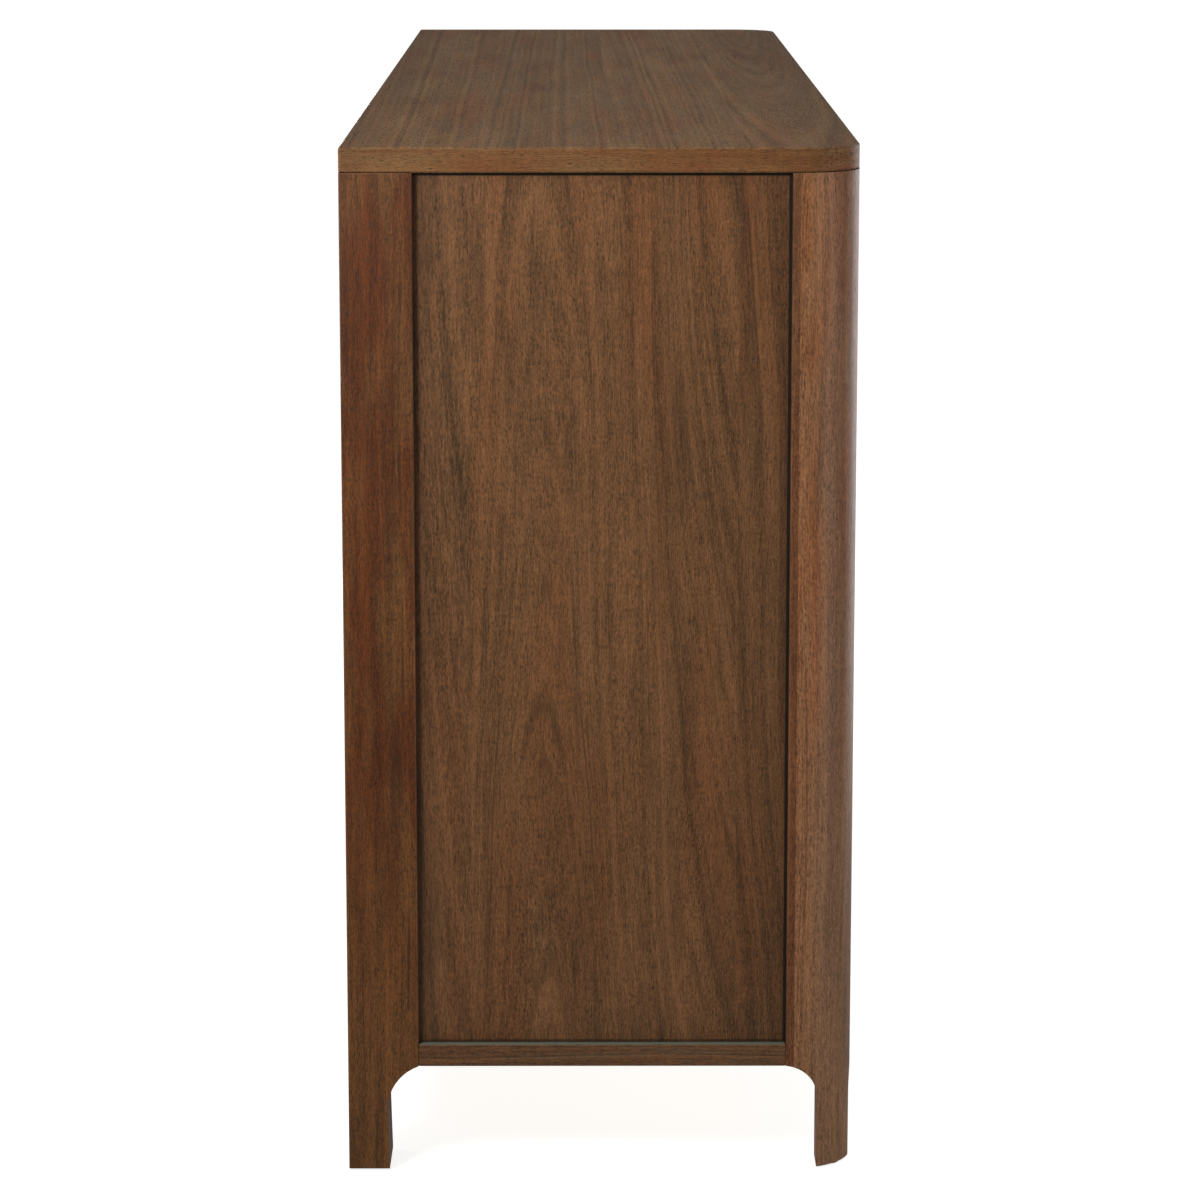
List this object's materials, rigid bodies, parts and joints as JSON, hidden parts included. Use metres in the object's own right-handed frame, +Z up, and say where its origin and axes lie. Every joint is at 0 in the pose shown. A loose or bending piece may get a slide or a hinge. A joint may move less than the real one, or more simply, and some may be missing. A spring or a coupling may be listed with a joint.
{
  "type": "dresser",
  "caption": "Low wide walnut dresser with inset scooped drawer fronts, rounded front corners, recessed end panels and coved square feet; the drawers slide on runners.",
  "frame": {"origin": "on the floor, in the middle of the outer box", "axes": "+X along the length towards the right-hand end as seen from the front, +Y towards the wall behind, so the drawers open towards -Y, +Z up"},
  "size_m": [1.83, 0.45, 0.914],
  "materials": {
    "top_walnut": "walnut veneer, brown stain, satin lacquer",
    "post_walnut": "solid walnut, brown stain, satin lacquer",
    "panel_walnut": "walnut veneer in leaves, satin lacquer",
    "rail_walnut": "solid walnut, brown stain, satin lacquer",
    "front_walnut": "walnut veneer, brown stain, satin lacquer",
    "inner_poplar": "planed poplar, unfinished",
    "drawer_maple": "solid maple, clear satin lacquer",
    "birch_plywood": "birch plywood, clear lacquer",
    "back_plywood": "plywood stained to match the case",
    "runner_steel": "rolled steel, bright zinc plated",
    "screw_steel": "turned steel, yellow zinc plated",
    "glide_nylon": "moulded nylon, dark brown"
  },
  "bodies": {
    "case": {"top_board": "top_walnut", "left_front_post": "post_walnut", "right_front_post": "post_walnut", "left_back_post": "post_walnut", "right_back_post": "post_walnut", "left_end_panel": "panel_walnut", "right_end_panel": "panel_walnut", "left_end_rail": "rail_walnut", "right_end_rail": "rail_walnut", "left_end_top_rail": "inner_poplar", "right_end_top_rail": "inner_poplar", "front_top_rail": "rail_walnut", "front_bottom_rail": "rail_walnut", "divider_rails": "rail_walnut", "centre_stile": "rail_walnut", "centre_partition": "birch_plywood", "back_top_rail": "rail_walnut", "back_bottom_rail": "rail_walnut", "back_muntin": "rail_walnut", "left_back_panel": "back_plywood", "right_back_panel": "back_plywood", "base_panel": "birch_plywood", "centre_feet": "rail_walnut", "foot_glides": "glide_nylon", "corner_blocks": "inner_poplar", "runner_cleats": "inner_poplar", "top_screws": "screw_steel", "case_runners": "runner_steel"},
    "bottom_left_drawer": {"bottom_left_drawer_front": "front_walnut", "bottom_left_drawer_box": "drawer_maple", "bottom_left_drawer_floor": "birch_plywood", "bottom_left_drawer_runners": "runner_steel"},
    "bottom_left_drawer_middle_runners": {"bottom_left_drawer_middle_runners": "runner_steel"},
    "bottom_right_drawer": {"bottom_right_drawer_front": "front_walnut", "bottom_right_drawer_box": "drawer_maple", "bottom_right_drawer_floor": "birch_plywood", "bottom_right_drawer_runners": "runner_steel"},
    "bottom_right_drawer_middle_runners": {"bottom_right_drawer_middle_runners": "runner_steel"},
    "middle_left_drawer": {"middle_left_drawer_front": "front_walnut", "middle_left_drawer_box": "drawer_maple", "middle_left_drawer_floor": "birch_plywood", "middle_left_drawer_runners": "runner_steel"},
    "middle_left_drawer_middle_runners": {"middle_left_drawer_middle_runners": "runner_steel"},
    "middle_right_drawer": {"middle_right_drawer_front": "front_walnut", "middle_right_drawer_box": "drawer_maple", "middle_right_drawer_floor": "birch_plywood", "middle_right_drawer_runners": "runner_steel"},
    "middle_right_drawer_middle_runners": {"middle_right_drawer_middle_runners": "runner_steel"},
    "top_left_drawer": {"top_left_drawer_front": "front_walnut", "top_left_drawer_box": "drawer_maple", "top_left_drawer_floor": "birch_plywood", "top_left_drawer_runners": "runner_steel"},
    "top_left_drawer_middle_runners": {"top_left_drawer_middle_runners": "runner_steel"},
    "top_right_drawer": {"top_right_drawer_front": "front_walnut", "top_right_drawer_box": "drawer_maple", "top_right_drawer_floor": "birch_plywood", "top_right_drawer_runners": "runner_steel"},
    "top_right_drawer_middle_runners": {"top_right_drawer_middle_runners": "runner_steel"}
  },
  "joints": [
    {"name": "bottom_left_drawer_slide", "type": "slide", "parent": "case", "child": "bottom_left_drawer", "axis": [0, -1, 0], "range_m": [0, 0.35]},
    {"name": "bottom_left_drawer_middle_slide", "type": "slide", "parent": "case", "child": "bottom_left_drawer_middle_runners", "axis": [0, -1, 0], "range_m": [0, 0.175]},
    {"name": "bottom_right_drawer_slide", "type": "slide", "parent": "case", "child": "bottom_right_drawer", "axis": [0, -1, 0], "range_m": [0, 0.35]},
    {"name": "bottom_right_drawer_middle_slide", "type": "slide", "parent": "case", "child": "bottom_right_drawer_middle_runners", "axis": [0, -1, 0], "range_m": [0, 0.175]},
    {"name": "middle_left_drawer_slide", "type": "slide", "parent": "case", "child": "middle_left_drawer", "axis": [0, -1, 0], "range_m": [0, 0.35]},
    {"name": "middle_left_drawer_middle_slide", "type": "slide", "parent": "case", "child": "middle_left_drawer_middle_runners", "axis": [0, -1, 0], "range_m": [0, 0.175]},
    {"name": "middle_right_drawer_slide", "type": "slide", "parent": "case", "child": "middle_right_drawer", "axis": [0, -1, 0], "range_m": [0, 0.35]},
    {"name": "middle_right_drawer_middle_slide", "type": "slide", "parent": "case", "child": "middle_right_drawer_middle_runners", "axis": [0, -1, 0], "range_m": [0, 0.175]},
    {"name": "top_left_drawer_slide", "type": "slide", "parent": "case", "child": "top_left_drawer", "axis": [0, -1, 0], "range_m": [0, 0.35]},
    {"name": "top_left_drawer_middle_slide", "type": "slide", "parent": "case", "child": "top_left_drawer_middle_runners", "axis": [0, -1, 0], "range_m": [0, 0.175]},
    {"name": "top_right_drawer_slide", "type": "slide", "parent": "case", "child": "top_right_drawer", "axis": [0, -1, 0], "range_m": [0, 0.35]},
    {"name": "top_right_drawer_middle_slide", "type": "slide", "parent": "case", "child": "top_right_drawer_middle_runners", "axis": [0, -1, 0], "range_m": [0, 0.175]}
  ],
  "couplings": [
    {"joint": "bottom_left_drawer_middle_slide", "follows": "bottom_left_drawer_slide", "ratio": 0.5},
    {"joint": "bottom_right_drawer_middle_slide", "follows": "bottom_right_drawer_slide", "ratio": 0.5},
    {"joint": "middle_left_drawer_middle_slide", "follows": "middle_left_drawer_slide", "ratio": 0.5},
    {"joint": "middle_right_drawer_middle_slide", "follows": "middle_right_drawer_slide", "ratio": 0.5},
    {"joint": "top_left_drawer_middle_slide", "follows": "top_left_drawer_slide", "ratio": 0.5},
    {"joint": "top_right_drawer_middle_slide", "follows": "top_right_drawer_slide", "ratio": 0.5}
  ]
}
